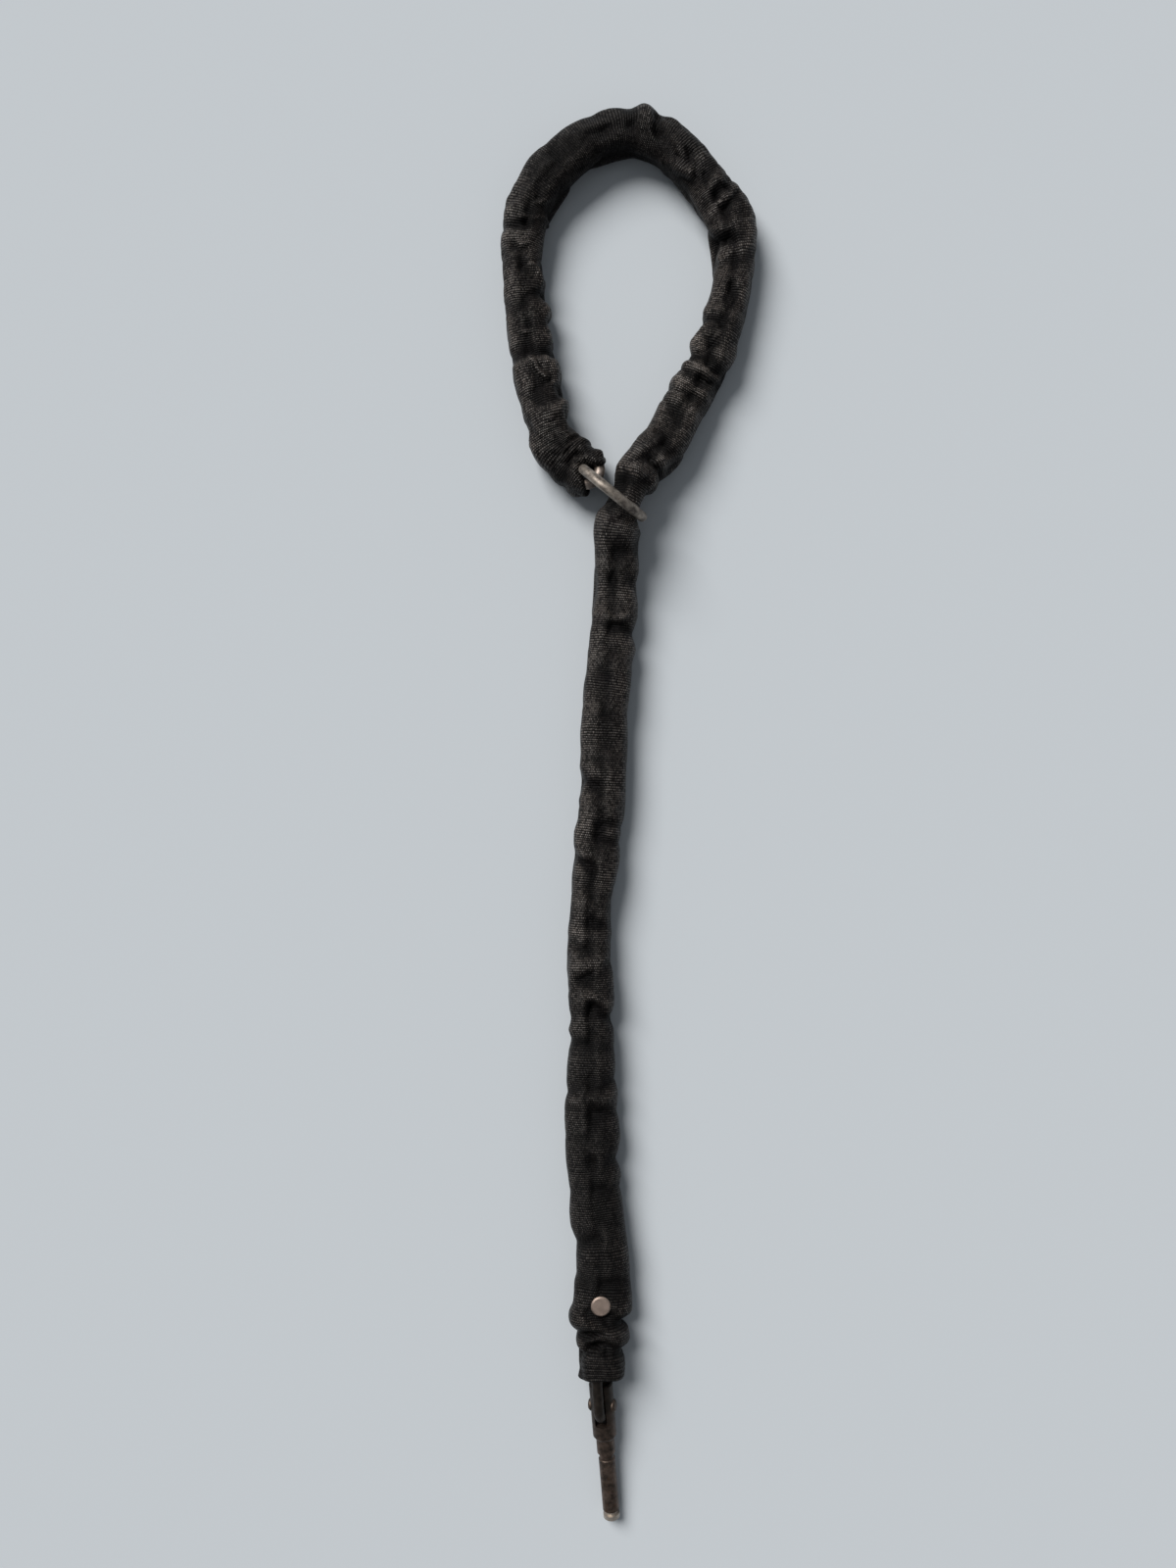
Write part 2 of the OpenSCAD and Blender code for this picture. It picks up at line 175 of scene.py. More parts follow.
# the last link sits in the plug's fork; it is dark partly from rust and partly as painted shade
# inside the fork
last_link_rust_and_shade = steel_finish(
    "last_link_rust_and_shade",
    light=(0.045, 0.036, 0.030),
    dark=(0.018, 0.015, 0.013),
    rust=(0.05, 0.028, 0.015),
    rust_share=0.06,
    rough=0.5,
)
dress("tail_link_18", last_link_rust_and_shade)


# The ring: 5.2 mm round bar, bent, welded and ground, about 43 mm across. It stands on the bench
# and is rubbed bright and warm by the chain.
ring_steel = steel_finish(
    "ring_steel",
    light=(0.34, 0.30, 0.26),
    dark=(0.10, 0.085, 0.075),
    rust=(0.09, 0.06, 0.04),
    rust_share=0.05,
    rough=0.50,
)
dress("ring", ring_steel)


# The line that the sleeve follows is the chain's own: it runs through the middle of each link and
# eases round where two links meet. Places on it count links, so 20.5 is the middle of link 20.
# In mm: one end bar of a link to the other, link to link, and the difference of the two.
bar_to_bar = 30.15
pitch = 24.25
link_play = 5.9
link_count = 38
noose_links = 20


def loose_parts(node):
    """The links of one node, each as its corner points and as points all over its wire, in mm."""
    mesh = nodes[node].data
    points = np.array([v.co for v in mesh.vertices]) * 1000
    _, weld = np.unique(np.round(points, 3), axis=0, return_inverse=True)
    weld = weld.ravel()
    corners = weld[np.array([p.vertices[:3] for p in mesh.polygons])]

    # corners of one face take the lowest label among them, until each link has a single label
    label = np.arange(weld.max() + 1)
    while True:
        least = label[corners].min(1)
        new = label.copy()
        for k in range(3):
            np.minimum.at(new, corners[:, k], least)
        new = new[new]
        if (new == label).all():
            break
        label = new
    label = label[weld]

    # a long edge is cut into steps, of which every so many are kept, half a millimetre apart
    edge_steps = 50
    spacing = 0.5
    first, second = np.array([e.vertices[:] for e in mesh.edges]).T
    share = np.arange(0, 1, 1 / edge_steps)[None, :, None]
    on_edges = points[first][:, None] * (1 - share) + points[second][:, None] * share
    lengths = np.linalg.norm(points[second] - points[first], axis=1)
    every = np.ceil(edge_steps * spacing / np.maximum(lengths, 0.01)).astype(int)
    keep = np.arange(edge_steps)[None, :] % every[:, None] == 0
    parts = []
    for k in np.unique(label):
        mine = label[first] == k
        parts.append((points[label == k], on_edges[mine][keep[mine]]))
    return parts


def links_of(node):
    """Each link of a node: its middle, long direction, wide direction and points on its wire."""
    found = []
    for corner_points, wire_points in loose_parts(node):
        middle = corner_points.mean(0)
        spread = corner_points - middle
        _, axes = np.linalg.eigh(spread.T @ spread)
        found.append((middle, axes[:, 2], axes[:, 1], wire_points))
    return found


# the links are put in order from the ring on: next comes the one whose end bar is nearest
ring_low, ring_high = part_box("ring")
ring_middle = np.array(ring_low + ring_high) / 2 * 1000
far_bar = ring_middle
chain = []
for number in range(link_count):
    if number == 0:
        loose = links_of("end_link")
    elif number == 1:
        loose = links_of("noose_chain")
    elif number >= noose_links:
        loose = links_of(f"tail_link_{number - noose_links + 1:02d}")
    _, nearest, way = min(
        (np.linalg.norm(middle - sign * bar_to_bar / 2 * along - far_bar), k, sign)
        for k, (middle, along, _, _) in enumerate(loose)
        for sign in (-1, 1)
    )
    middle, along, wide, wire = loose.pop(nearest)
    along = along * way
    near_bar = middle - bar_to_bar / 2 * along
    far_bar = middle + bar_to_bar / 2 * along
    chain.append({"near_bar": near_bar, "along": along, "wide": wide, "wire": wire})

near_bars = np.array([link["near_bar"] for link in chain])
headings = np.array([link["along"] for link in chain])

# where on each link the sleeve is cut: half-way, except at its two ends and beside the rivet
seam = np.array([0.69] + [0.5] * 34 + [0.30, 0.5, 0.431])
seam_place = np.arange(link_count) + seam


def line_point(x):
    """Points of the sleeve's line, in mm, at the places x."""
    x = np.atleast_1d(np.asarray(x, float))
    straightness = 0.8
    i = np.clip(np.searchsorted(seam_place, x, "right") - 1, 0, link_count - 2)
    t = np.clip((x - seam_place[i]) / (seam_place[i + 1] - seam_place[i]), 0, 1)[:, None]
    a, b = seam[i][:, None], seam[i + 1][:, None]
    start = near_bars[i] + (link_play / 2 + a * pitch) * headings[i]
    end = near_bars[i + 1] + (link_play / 2 + b * pitch) * headings[i + 1]
    out = start + straightness * (1 - a) * pitch * headings[i]
    back = end - straightness * b * pitch * headings[i + 1]
    s = 1 - t
    p = s**3 * start + 3 * s * s * t * out + 3 * s * t * t * back + t**3 * end
    p = p + np.minimum(x - seam_place[0], 0)[:, None] * pitch * headings[0]
    return p + np.maximum(x - seam_place[-1], 0)[:, None] * pitch * headings[-1]


def line_frame(x):
    """Point, direction, level side direction and up direction of the line. The side direction
    points away from the noose's middle."""
    step = 0.01
    p = line_point(x)
    d = line_point(np.asarray(x) + step) - line_point(np.asarray(x) - step)
    d = d / np.linalg.norm(d, axis=1)[:, None]
    side = np.stack([-d[:, 1], d[:, 0], np.zeros(len(d))], 1)
    side = side / np.linalg.norm(side, axis=1)[:, None]
    return p, d, side, np.cross(d, side)


# The sleeve: one long tube of black polyester webbing, woven round and pulled over the chain, so
# it lies full and a little too long, in puckers. It is riveted to the chain near the plug, and
# hemmed at both ends. Its points stand in 80 columns, in rings 0.028 of a link apart.
columns = 80
ring_gap = 0.028
cloth_round = 80.0
wall = 1.0
floor_gap = 0.02

# How far the cloth lies from the line, in mm, at places along it: to the outer and the inner side
# of the noose. On the straight part the outer side is the left one, seen from the noose.
half_width = np.array([
    (0.36, 13.6, 12.4), (0.55, 13.6, 13.0), (0.75, 13.0, 12.6), (0.95, 14.2, 11.4), (1.1, 14.6, 8.4),
    (1.25, 14.6, 6.0), (1.4, 12.9, 6.5), (1.55, 12.4, 10.0), (1.75, 13.0, 12.8), (1.95, 12.2, 9.4),
    (2.1, 12.0, 8.2), (2.3, 12.2, 12.0), (2.5, 12.2, 13.0), (2.7, 11.8, 12.0), (2.92, 11.4, 8.2),
    (3.15, 11.4, 11.4), (3.4, 11.4, 11.6), (3.62, 11.2, 10.2), (3.85, 10.8, 13.6), (4.02, 10.8, 12.4),
    (4.18, 10.6, 8.0), (4.35, 10.2, 10.2), (4.6, 10.0, 11.2), (4.8, 9.8, 9.4), (4.95, 9.6, 8.8),
    (5.15, 11.4, 8.6), (5.5, 12.8, 9.2), (5.9, 13.6, 10.8), (6.0, 13.6, 11.2), (6.2, 14.2, 8.8),
    (6.5, 13.8, 8.6), (6.8, 15.2, 8.4), (7.1, 15.4, 8.2), (7.5, 14.8, 8.2), (7.75, 14.2, 8.4),
    (8.2, 13.4, 8.4), (8.5, 13.4, 8.4), (8.85, 11.8, 8.8), (9.1, 15.2, 8.8), (9.3, 13.4, 8.8),
    (9.55, 13.0, 9.2), (9.9, 11.4, 11.0), (10.1, 10.2, 11.0), (10.5, 10.0, 10.4), (11.0, 12.0, 8.8),
    (11.25, 13.0, 8.8), (11.5, 16.0, 8.8), (12.0, 15.6, 8.8), (12.25, 14.8, 7.8), (12.5, 12.7, 8.2),
    (12.9, 10.4, 9.6), (13.15, 9.3, 9.8), (13.4, 9.6, 8.8), (13.75, 10.0, 10.8), (14.0, 9.8, 11.6),
    (14.25, 10.3, 10.6), (14.7, 11.4, 12.8), (15.05, 10.6, 9.4), (15.3, 10.4, 13.0), (15.6, 10.0, 13.2),
    (16.0, 9.6, 12.8), (16.3, 9.4, 13.0), (17.0, 9.0, 13.5), (17.25, 9.2, 13.7), (17.45, 9.8, 13.3),
    (17.58, 9.2, 11.4), (17.7, 11.2, 9.8), (18.05, 11.8, 11.4), (18.33, 7.4, 7.4), (18.58, 6.3, 6.3),
    (18.83, 8.6, 7.4), (18.95, 10.6, 8.4), (19.1, 12.6, 8.8), (19.3, 13.0, 8.8), (19.55, 12.0, 8.4),
    (20.1, 12.8, 9.6), (20.5, 12.2, 9.0), (20.75, 13.2, 9.4), (21.05, 13.2, 10.2), (21.4, 12.0, 11.0),
    (21.7, 13.5, 10.8), (22.0, 12.2, 11.1), (22.5, 12.8, 11.5), (23.0, 12.5, 10.8), (23.5, 13.2, 11.2),
    (24.0, 13.4, 10.8), (24.3, 13.0, 11.2), (24.6, 12.8, 9.6), (25.0, 13.1, 11.1), (25.4, 13.0, 10.0),
    (25.7, 12.4, 11.9), (26.0, 13.3, 11.2), (26.25, 13.2, 10.2), (26.6, 11.9, 10.6), (27.1, 10.5, 9.6),
    (27.5, 10.5, 10.4), (27.8, 11.2, 11.4), (28.25, 10.6, 11.6), (28.6, 11.6, 11.5), (29.2, 12.5, 11.2),
    (29.6, 10.6, 10.2), (29.85, 12.0, 11.7), (30.1, 12.2, 10.6), (30.5, 12.5, 12.0), (31.0, 13.4, 13.0),
    (31.3, 13.6, 13.4), (31.6, 14.2, 13.9), (32.2, 14.7, 14.2), (32.62, 12.9, 14.0), (33.0, 14.4, 13.2),
    (33.3, 13.6, 12.5), (33.7, 14.0, 14.0), (34.0, 14.0, 14.0), (34.4, 14.4, 12.2), (35.0, 15.2, 13.2),
    (35.3, 15.6, 14.2), (35.5, 16.4, 14.0), (35.7, 16.6, 14.2), (35.82, 15.6, 14.6),
    (35.94, 12.0, 15.2), (36.02, 12.4, 15.6), (36.16, 15.0, 14.6), (36.28, 14.8, 12.8),
    (36.42, 14.6, 12.0), (36.52, 13.2, 12.0), (36.62, 12.2, 10.8), (36.74, 11.6, 9.4),
    (36.9, 11.8, 8.8), (37.08, 11.6, 8.4), (37.25, 11.4, 8.2), (37.43, 11.4, 8.2),
])
# how high the sleeve is from its underside to its top
height = np.array([
    (0.36, 19.4), (0.7, 21.4), (1, 22.8), (1.5, 23), (2, 22.9), (2.5, 20.6), (3, 19.4), (7, 19.4),
    (8.4, 20.2), (9, 20.8), (10, 21.2), (11, 20.4), (12, 19.6), (13, 19.3), (17, 19.3), (17.6, 19.9),
    (18.05, 22.8), (18.33, 22.9), (18.58, 22.5), (18.83, 23.4), (19.05, 25), (19.3, 22), (19.6, 19.7),
    (20.2, 19.3), (34.8, 19.3), (35.7, 19.6), (36.0, 20.6), (36.3, 21.6), (36.6, 22.0), (36.8, 22.4),
    (37.43, 22.2),
])
# how many degrees it leans over
slant = np.array([
    (17.3, 0), (17.7, 8), (18.05, 0), (18.33, -24), (18.58, -26), (18.83, -22), (19.05, 0), (19.3, 12),
    (19.6, 8), (20, 0),
])
# how square it is across: 2 is an oval, and more is nearer to a rectangle
square = np.array([
    (0.36, 2.6), (1, 2.8), (2, 3.2), (3, 3.4), (5, 3.4), (8, 2.9), (11, 2.9), (13, 3.3), (15, 3.4),
    (17.5, 3.2), (18.05, 3), (18.33, 2.3), (18.83, 2.3), (19.05, 2.8), (19.5, 3.4), (21, 3.0),
    (27, 3.4), (30, 2.9), (31, 2.5), (35, 2.5), (36, 2.6), (37, 3.2),
])
# how far its middle is lifted above the line
lift = np.array([
    (0.36, -4.2), (0.7, -2.6), (1, -1), (1.3, 0), (17.6, 0), (18.05, 0.2), (18.38, 0), (18.68, 0),
    (18.9, 0.1), (19.05, 0.6), (19.4, 0.4), (19.7, 0),
])
# how much it puckers
crumple = np.array([
    (0.36, 1.3), (2, 1.2), (6.2, 1.2), (6.6, 0.35), (8.6, 0.4), (9, 1.0), (12.5, 1.2), (14, 1.0),
    (15, 1.3), (16.2, 1.1), (16.5, 0.45), (17.2, 0.5), (17.6, 1.0), (18.2, 1.2), (19.5, 0.6), (21, 0.5),
    (21.8, 0.3), (24, 0.3), (25, 0.6), (29.5, 0.6), (30, 0.4), (33, 0.35), (35.2, 0.2), (35.7, 0.3),
    (36.5, 0.3), (36.7, 0.1),
])
# how much brown dust sits on it, with less round the far end of the noose as painted shade
dust_and_shade_along = np.array([
    (0.36, 0.5), (1.2, 0.8), (4.0, 0.9), (5.5, 1.0), (6.4, 0.6), (7, 0.4), (9, 0.4), (10.5, 0.55),
    (12, 0.85), (13.5, 1.0), (16.5, 0.95), (18, 0.75), (20, 0.9), (22, 1.0), (26, 0.9), (28.5, 0.8),
    (30, 0.55), (35, 0.45), (35.3, 0.25), (35.6, 0.4), (37, 0.3),
])

# Creases: from one place to another, each with how far across it lies (1 the outer edge, 0 the
# top, -1 the inner edge), then how high it stands or how deep it sinks, and how wide it is.
creases = [
    # where it comes out of the mouth, up the near arm
    (1.72, -1.1, 1.58, 0.3, 0.8, 1.6), (1.95, -1.1, 1.83, 0.1, -1.4, 1.5),
    (2.30, -1.0, 2.08, 0.5, -0.7, 1.6), (2.75, -0.9, 2.69, 0.9, 1.1, 1.2),
    (2.93, -1.2, 2.97, 1.2, -1.9, 1.7), (3.65, -1.2, 3.53, -0.2, -1.1, 1.5),
    (4.18, -1.2, 4.04, 0.3, -1.3, 1.7), (4.27, -0.8, 4.29, 0.4, 0.5, 1.6),
    (4.97, 1.2, 4.78, 0.0, -1.2, 1.6), (5.66, 1.1, 5.70, -0.8, -1.2, 1.5),
    (5.50, 1.0, 5.44, -0.3, 0.8, 1.5), (5.88, -1.2, 5.73, -0.2, -1.4, 1.1),
    (6.01, -1.2, 5.87, 0.0, 1.5, 0.7), (6.16, -1.2, 6.02, -0.2, -1.5, 1.3),
    # round the far end of the noose
    (7.30, 1.0, 7.11, 0.0, -0.6, 2.0), (8.30, 1.0, 8.29, -0.2, -0.7, 1.8),
    (8.90, 1.1, 8.91, 0.0, -0.9, 1.5), (9.08, 1.2, 9.12, -0.1, 1.2, 1.5),
    (9.24, 0.9, 9.56, -0.5, 1.3, 1.0), (9.42, 0.6, 9.70, -0.5, -1.3, 1.2),
    (10.35, 1.0, 10.69, -0.4, 1.3, 1.2), (10.18, 1.0, 10.51, -0.3, -1.0, 1.3),
    (10.83, 0.5, 10.99, -0.5, -0.9, 1.5), (11.14, 0.1, 11.19, -0.8, 1.1, 1.3),
    (11.77, -1.2, 11.36, 1.1, 1.5, 0.7), (11.62, -1.0, 11.30, 0.5, -1.2, 1.2),
    (11.92, -1.2, 11.55, 0.7, -1.4, 1.2), (12.05, -1.2, 12.16, -0.2, 1.4, 0.8),
    (12.20, -1.2, 12.39, 0.1, -2.1, 1.7), (12.75, 0.6, 12.79, 0.1, -1.6, 1.8),
    (12.49, 0.8, 12.59, -0.5, 0.8, 1.4),
    # down the other arm to the ring
    (13.32, -1.1, 13.53, 0.2, -0.9, 1.6), (14.17, -1.2, 14.20, 1.2, -1.6, 1.6),
    (14.02, -1.0, 14.17, 0.6, 0.7, 1.4), (14.75, -1.1, 14.87, 0.3, 0.9, 1.5),
    (14.50, 1.0, 14.60, 0.0, -0.6, 1.5), (14.92, -1.0, 14.92, 1.0, 0.9, 1.3),
    (15.08, -1.3, 15.06, 1.3, -2.5, 1.7), (15.30, -1.2, 15.26, 1.2, 1.6, 1.4),
    (15.47, -1.1, 15.42, 1.1, -1.5, 1.3), (15.69, -0.9, 15.83, 0.9, 1.1, 1.2),
    (15.84, -0.9, 16.06, 0.8, -0.9, 1.0), (15.98, -0.7, 16.28, 0.6, 1.0, 1.2),
    (16.30, -0.7, 16.50, 0.1, -0.5, 1.3), (17.10, 0.5, 17.11, -0.2, -1.5, 1.7),
    (17.50, 1.2, 17.58, 0.4, 1.2, 1.1), (17.62, 1.2, 17.69, 0.2, -1.8, 1.2),
    (18.16, -1.0, 18.02, 0.0, 1.6, 1.2), (18.02, 0.0, 18.20, 1.0, 1.6, 1.2),
    (18.19, -0.6, 18.22, 0.5, -2.6, 1.6),
    # the straight part
    (19.62, 1.1, 19.68, 0.0, -0.8, 1.5), (20.30, 1.2, 20.37, -0.1, -1.6, 1.6),
    (20.50, 1.0, 20.53, 0.0, 0.7, 1.4), (21.02, -1.2, 21.14, 0.4, 1.8, 1.1),
    (21.13, -1.2, 21.46, 1.2, -1.8, 1.4), (21.56, 1.1, 21.55, 0.1, 0.9, 1.2),
    (22.30, -1.0, 22.38, 0.1, -0.5, 2.0), (23.20, 1.0, 23.19, 0.2, -0.5, 2.0),
    (24.57, -0.8, 24.62, -0.1, -1.6, 1.6), (24.42, -1.1, 24.47, 0.1, 0.7, 1.4),
    (25.54, 1.1, 25.53, 0.1, -1.3, 1.1), (25.67, 1.1, 25.65, 0.0, 1.2, 0.9),
    (25.80, 1.0, 25.78, -0.2, -1.3, 1.1), (26.24, -1.2, 26.40, 0.0, -1.5, 1.3),
    (26.10, -1.1, 26.24, 0.1, 0.8, 1.2), (27.00, 1.0, 26.93, 0.1, -0.6, 1.6),
    (27.60, 0.6, 27.62, -0.2, -1.3, 1.3), (27.99, 0.2, 28.02, -0.7, -1.3, 1.3),
    (27.80, 0.8, 27.86, -0.6, 0.7, 1.3), (28.24, 0.9, 28.67, -0.8, 1.3, 1.1),
    (28.44, 1.0, 28.80, -0.5, -1.0, 1.3), (29.19, 0.0, 29.52, 1.2, 1.7, 1.0),
    (29.19, 0.0, 29.52, -1.2, 1.7, 1.0), (29.35, 0.0, 29.66, 1.2, -1.9, 1.2),
    (29.35, 0.0, 29.66, -1.2, -1.9, 1.2), (30.06, -1.2, 29.98, -0.1, -1.2, 1.4),
    (30.30, 1.0, 30.16, 0.1, -0.6, 1.6), (31.22, -1.2, 30.82, 1.2, -1.8, 1.5),
    (31.38, -1.1, 31.21, 0.9, 1.4, 1.2), (31.62, 1.0, 31.53, 0.1, -1.6, 1.5),
    (32.10, -1.0, 32.03, 0.2, -0.7, 1.6), (32.66, 1.2, 32.58, 0.0, -1.7, 1.3),
    (32.50, 1.1, 32.40, 0.1, 0.9, 1.3), (33.28, 1.1, 33.17, 0.0, -0.9, 1.5),
    (34.40, -1.1, 34.21, 0.0, -1.0, 1.6), (35.11, -0.8, 35.13, 0.8, -1.0, 2.2),
    # twisted folds between the rivet and the hem
    (35.82, -1.0, 35.60, 0.0, 1.0, 1.0), (35.60, 0.0, 35.80, 1.2, 1.0, 1.0),
    (35.74, -0.2, 36.02, 0.9, -3.0, 1.2), (35.88, -1.1, 36.43, 1.0, 2.4, 1.6),
    (36.25, -0.9, 36.14, 0.0, -2.2, 1.0), (36.52, -0.8, 36.24, 0.2, 1.4, 1.0),
    (36.45, -0.4, 36.60, 0.9, -2.0, 1.0), (36.62, 0.4, 36.63, 0.9, -1.2, 1.0),
    (36.68, -1.1, 36.58, -0.4, -1.6, 1.0),
]


def smooth_table(rows, x, column=1):
    """The table's value, with its corners rounded over about 2 mm."""
    return sum(np.interp(x + s * 0.03, rows[:, 0], rows[:, column]) for s in (-1.5, -0.5, 0.5, 1.5)) / 4


# the columns' angles: 0 is the outer side, a quarter turn is the top
turn = 2 * math.pi * np.arange(columns) / columns


def room_for_links(x, points, side, up):
    """How far the links reach from the line, for each ring and column of the sleeve."""
    need = np.zeros((len(x), columns))
    for i, link in enumerate(chain):
        # only the rings that lie beside this link
        rings = np.where((x > i - 0.35) & (x < i + 1.6))[0]
        if len(rings) == 0:
            continue
        wire = link["wire"]
        away = ((wire[:, None, :] - points[rings][None, :, :]) ** 2).sum(2)
        ring = rings[away.argmin(1)]
        off = wire - points[ring]
        a, b = (off * side[ring]).sum(1), (off * up[ring]).sum(1)
        within = (ring > rings[0]) & (ring < rings[-1])
        column = np.round(np.arctan2(b, a) / (2 * math.pi) * columns).astype(int) % columns
        np.maximum.at(need, (ring[within], column[within]), np.hypot(a, b)[within])

    def spread(field):
        beside = [np.roll(np.roll(field, da, 0), dc, 1) for da in (-1, 0, 1) for dc in (-1, 0, 1)]
        return np.max(beside, axis=0)

    touching = spread(spread(need))
    soft = spread(spread(touching))
    for _ in range(6):
        lengthwise = soft + np.roll(soft, 1, 0) + np.roll(soft, -1, 0)
        soft = (lengthwise + np.roll(soft, 1, 1) + np.roll(soft, -1, 1)) / 5
    return np.maximum(touching, soft)


def plain_radius(x):
    """How far the cloth stands from the line all round, before it is folded."""
    lean = np.radians(smooth_table(slant, x))[:, None]
    angle = turn[None, :] - lean
    c, s = np.cos(angle), np.sin(angle)
    outer, inner = (smooth_table(half_width, x, column)[:, None] for column in (1, 2))
    a = np.where(c > 0, outer, inner)
    b = smooth_table(height, x)[:, None] / 2
    n = smooth_table(square, x)[:, None]
    return (np.abs(c / a) ** n + np.abs(s / b) ** n) ** (-1 / n)


def pushed_by_links(radius, x, side, up):
    """Each link pushes the cloth out along its own width."""
    push_height = 0.45
    push_place = 0.62
    push_length = 0.33
    for i, link in enumerate(chain):
        share = np.exp(-(((x - i - push_place) / push_length) ** 2))[:, None]
        ring = int(np.clip(np.searchsorted(x, i + push_place), 0, len(x) - 1))
        tilt = math.atan2(link["wide"] @ up[ring], link["wide"] @ side[ring])
        radius = radius + push_height * share * np.cos(2 * (turn[None, :] - tilt))
    return radius


def crease_push(radius, x):
    """How far the creases lift or sink the cloth, for each ring and column."""
    margin = 0.45
    end_fade = 0.3

    # across: 0 on top, 1 and -1 at the edges, 2 and -2 underneath
    reach = radius * np.cos(turn)[None, :]
    edge = np.where(reach > 0, reach.max(1)[:, None], -reach.min(1)[:, None])
    across = reach / edge
    across = np.where(np.sin(turn)[None, :] < 0, np.sign(across) * 2 - across, across)

    push = np.zeros_like(radius)
    for x0, a0, x1, a1, high, wide in creases:
        rings = np.where(np.abs(x - (x0 + x1) / 2) < abs(x1 - x0) / 2 + margin)[0]
        if len(rings) == 0:
            continue
        if a0 > a1:
            x0, a0, x1, a1 = x1, a1, x0, a0

        # ridges are broad and low, valleys narrow and deep, and both die away at the edges
        if high > 0:
            broad, gain, edge_loss = 2.7, 1.25, 0.65
        else:
            broad, gain, edge_loss = 2.1, 2.1, 0.45
        # the straight part's folds are smoother
        soft = 1.3 if 19.5 < x0 < 35.4 else 1.0
        w = across[rings]
        t = (w - a0) / (a1 - a0)
        wander = 0.05 * np.sin(2.6 * w + 7 * x0) + 0.02 * np.sin(6.1 * w + 17 * x0)
        off = (x[rings][:, None] - (x0 + np.clip(t, 0, 1) * (x1 - x0)) - wander) * pitch / wide
        off = off / (soft * broad)
        profile = np.exp(-(off**2)) if high > 0 else np.exp(-(np.abs(off) ** 1.5))
        fade = 1 - edge_loss * np.clip((np.abs(w) - 0.6) / 0.4, 0, 1)
        beyond = np.maximum(np.maximum(-t, t - 1), 0) * (a1 - a0) / end_fade
        push[rings] += gain / soft**1.5 * high * profile * fade * np.exp(-(beyond**2))
    return push


def puckers(x):
    """Uneven lumps about 12 mm long, and ripples of 6 mm with nipped lines between them."""
    lumps = np.empty((len(x), columns))
    ripples = np.empty((len(x), columns))
    for k, place in enumerate(x):
        run = place * pitch
        for q in range(columns):
            cx, cy = math.cos(turn[q]), math.sin(turn[q])
            stray = noise.noise(Vector((run / 20.0, cx * 1.1 + 5.0, cy * 1.1)))
            lumps[k, q] = noise.noise(Vector((run / 12.0 + 1.5 * stray, cx * 1.1, cy * 1.1)))
            pucker = noise.noise(Vector((run / 6.0 + 2.4 * stray, cx * 0.9 + 9.0, cy * 0.9)))
            nip = noise.noise(Vector((run / 9.0 - 2.0 * stray, cx * 0.8 + 3.0, cy * 0.8 + 7.0)))
            ripples[k, q] = 0.8 * pucker - 3.0 * max(0.0, 0.14 - abs(nip))
    return lumps, ripples


def press_under_rivet(skin):
    """The rivet's cap holds the cloth down, and round the cap it rises in two slopes."""
    cap_low, cap_high = (np.array(v) * 1000 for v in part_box("rivet_cap"))
    cap_middle = (cap_low + cap_high) / 2
    under_top = 0.95
    cap_edge = 5.2
    dent_edge = 8.7
    free_edge = 14
    away = np.hypot(skin[:, :, 0] - cap_middle[0], skin[:, :, 1] - cap_middle[1])
    dent = 0.9 * np.clip((away - cap_edge) / 3.5, 0, 1)
    rise = 9 * np.clip((away - dent_edge) / 5, 0, 1)
    held = np.minimum(skin[:, :, 2], cap_high[2] - under_top + dent + rise)
    skin[:, :, 2] = np.where(away < free_edge, held, skin[:, :, 2])


def sleeve_skin(x):
    """The sleeve's outer face: for every place x a ring of points in mm, the middle of each ring,
    and how much brown dust and painted fold shade each point gets."""
    points, way, side, up = line_frame(x)
    middle = points + np.array([0, 0, 1.0]) * smooth_table(lift, x)[:, None]
    radius = pushed_by_links(plain_radius(x), x, side, up)
    push = crease_push(radius, x)
    lumps, ripples = puckers(x)

    # the cloth puckers most on top, where nothing presses on it
    top = 0.35 + 0.65 * np.clip(1.3 * np.sin(turn)[None, :], 0, 1)
    loose_cloth = smooth_table(crumple, x)[:, None]
    radius = radius + push + top * loose_cloth * (1.5 * lumps + 1.2 * ripples)

    # the last 12 mm are turned in and stitched, so they stand out as a band with ribs
    band_start = 36.66
    band_height = 0.9
    rib_height = 0.28
    rib_step = 2.3
    band = np.clip((x - band_start) / 0.05, 0, 1)[:, None]
    ribs = np.sin(2 * math.pi * x * pitch / rib_step)[:, None]
    radius = radius + band * (band_height + rib_height * ribs)

    # the cloth never goes through a link, and lies softly where it starts to touch one
    slack = 0.12
    least = room_for_links(x, middle, side, up) + wall + slack
    covers_a_link = least > 4
    swell = 0.25 * np.exp(-(((radius - least) / 0.5) ** 2))
    radius = np.maximum(radius, least) + swell * covers_a_link
    skin = (
        middle[:, None, :]
        + (radius * np.cos(turn))[:, :, None] * side[:, None, :]
        + (radius * np.sin(turn))[:, :, None] * up[:, None, :]
    )

    # the band's two edges reach a little further than its top
    edge_reach = 1.6
    further = np.clip((x - 36.8) / 0.4, 0, 1)[:, None] * np.cos(turn)[None, :] ** 2
    skin = skin + edge_reach * further[:, :, None] * way[:, None, :]
    press_under_rivet(skin)
    skin[:, :, 2] = np.maximum(skin[:, :, 2], floor_gap)

    # how far each spot stands out from the cloth round it: 1 on a crest, 0 in a crease. It sets the
    # dust, and it also paints light on the crests and shade in the creases.
    smoothings = 80
    broad = radius.copy()
    for _ in range(smoothings):
        broad[1:-1] = (broad[:-2] + broad[1:-1] + broad[2:]) / 3
        broad = (2 * broad + np.roll(broad, 1, 1) + np.roll(broad, -1, 1)) / 4
    dust_and_fold_shade = np.clip(0.5 + 0.3 * (radius - broad) + 0.12 * push, 0, 1)
    return skin, middle, dust_and_fold_shade * smooth_table(dust_and_shade_along, x)[:, None]


